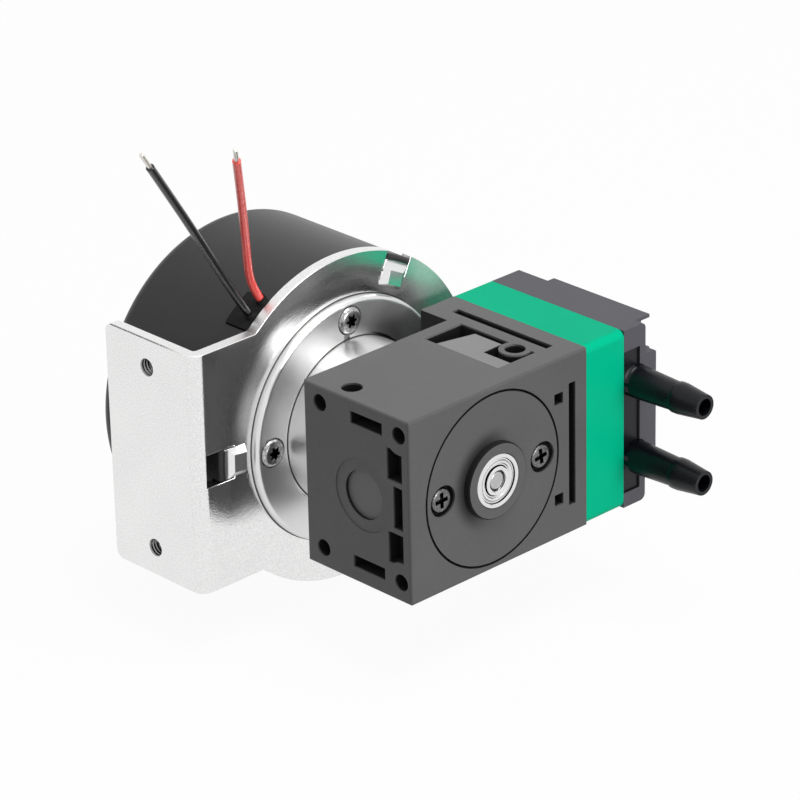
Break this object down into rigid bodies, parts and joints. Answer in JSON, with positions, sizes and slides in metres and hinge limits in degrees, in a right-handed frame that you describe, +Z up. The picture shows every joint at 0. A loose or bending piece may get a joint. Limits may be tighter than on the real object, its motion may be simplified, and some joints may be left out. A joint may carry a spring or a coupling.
{
  "type": "diaphragm vacuum pump",
  "caption": "Miniature diaphragm vacuum pump: can motor on a bent steel bracket, moulded crankcase with pockets, stacked pump head with barbed hose ports, and short wire leads.",
  "frame": {"origin": "centre of the bracket's two tapped holes, on the outer face of its bent flange", "axes": "+Z up, +X from the bracket's flange towards the pump head, +Y along the shaft towards the motor's closed rear end"},
  "size_m": [0.0696, 0.0676, 0.0758],
  "materials": {
    "can": "satin charcoal coat",
    "bracket": "bright plated sheet",
    "grommet": "moulded",
    "black_insulation": "glossy",
    "red_insulation": "glossy",
    "tinned_strand": "tinned copper",
    "adapter": "turned",
    "screw_steel": "bright",
    "bearing_steel": "ground",
    "shaft_steel": "ground",
    "tube_brass": "turned",
    "board": "solder mask",
    "core_steel": "laminated",
    "copper_wire": "enamelled copper",
    "rotor_steel": "drawn",
    "magnet": "coated",
    "case_plastic": "fine moulded texture",
    "eccentric_steel": "turned",
    "rod_plastic": "moulded",
    "membrane": "moulded",
    "clamp_aluminium": "turned",
    "green_plastic": "moulded",
    "seal_rubber": "moulded",
    "valve_rubber": "moulded",
    "head_plastic": "moulded",
    "port_plastic": "moulded"
  },
  "bodies": {
    "housing": {"motor_can": "can", "mounting_bracket": "bracket", "lead_grommet": "grommet", "lead_black": "black_insulation", "lead_red": "red_insulation", "lead_black_strand": "tinned_strand", "lead_red_strand": "tinned_strand", "adapter_flange": "adapter", "adapter_screws": "screw_steel", "bearing_tube": "tube_brass", "motor_bearing_outers": "bearing_steel", "wave_washer": "bearing_steel", "circuit_board": "board", "stator_core": "core_steel", "stator_coils": "copper_wire", "crankcase": "case_plastic", "crankcase_screws": "screw_steel", "front_cover": "case_plastic", "cover_screws": "screw_steel", "cover_bearing_outer": "bearing_steel", "cover_bearing_shields": "bearing_steel", "diaphragm": "membrane", "chamber_plate": "green_plastic", "head_seal": "seal_rubber", "pump_head": "head_plastic", "head_cover": "head_plastic", "head_screws": "screw_steel", "head_cover_screws": "screw_steel", "port_manifold": "port_plastic"},
    "rotor": {"motor_shaft": "shaft_steel", "rotor_cup": "rotor_steel", "rotor_magnets": "magnet", "motor_bearing_inners": "bearing_steel", "cover_bearing_inner": "bearing_steel", "shaft_clip": "screw_steel", "eccentric": "eccentric_steel", "eccentric_set_screw": "screw_steel", "rod_bearing_inner": "bearing_steel"},
    "rod": {"connecting_rod": "rod_plastic", "rod_bearing_outer": "bearing_steel", "clamp_disc": "clamp_aluminium", "diaphragm_screw": "screw_steel"},
    "shaft_balls": {"motor_bearing_balls": "bearing_steel", "cover_bearing_balls": "bearing_steel"},
    "rod_balls": {"rod_bearing_balls": "bearing_steel"},
    "outlet_valve": {"outlet_valve": "valve_rubber"},
    "inlet_valve": {"inlet_valve": "valve_rubber"}
  },
  "joints": [
    {"name": "shaft_spin", "type": "hinge", "parent": "housing", "child": "rotor", "pos_m": [0.02797, -0.00975, 0], "axis": [0, 1, 0], "continuous": true},
    {"name": "rod_pivot", "type": "hinge", "parent": "rotor", "child": "rod", "pos_m": [0.02667, -0.02593, 0], "axis": [0, 1, 0], "continuous": true, "deforming": ["diaphragm"]},
    {"name": "shaft_ball_orbit", "type": "hinge", "parent": "housing", "child": "shaft_balls", "pos_m": [0.02797, -0.00975, 0], "axis": [0, 1, 0], "continuous": true},
    {"name": "rod_ball_orbit", "type": "hinge", "parent": "rotor", "child": "rod_balls", "pos_m": [0.02667, -0.02593, 0], "axis": [0, 1, 0], "continuous": true},
    {"name": "outlet_valve_lift", "type": "slide", "parent": "housing", "child": "outlet_valve", "axis": [1, 0, 0], "range_m": [0, 0.00048], "stiffness_N_per_m": 40},
    {"name": "inlet_valve_lift", "type": "slide", "parent": "housing", "child": "inlet_valve", "axis": [-1, 0, 0], "range_m": [0, 0.00048], "stiffness_N_per_m": 40}
  ],
  "couplings": [
    {"joint": "rod_pivot", "follows": "shaft_spin", "ratio": -1},
    {"joint": "shaft_ball_orbit", "follows": "shaft_spin", "ratio": 0.3945},
    {"joint": "rod_ball_orbit", "follows": "shaft_spin", "ratio": -0.58095}
  ]
}
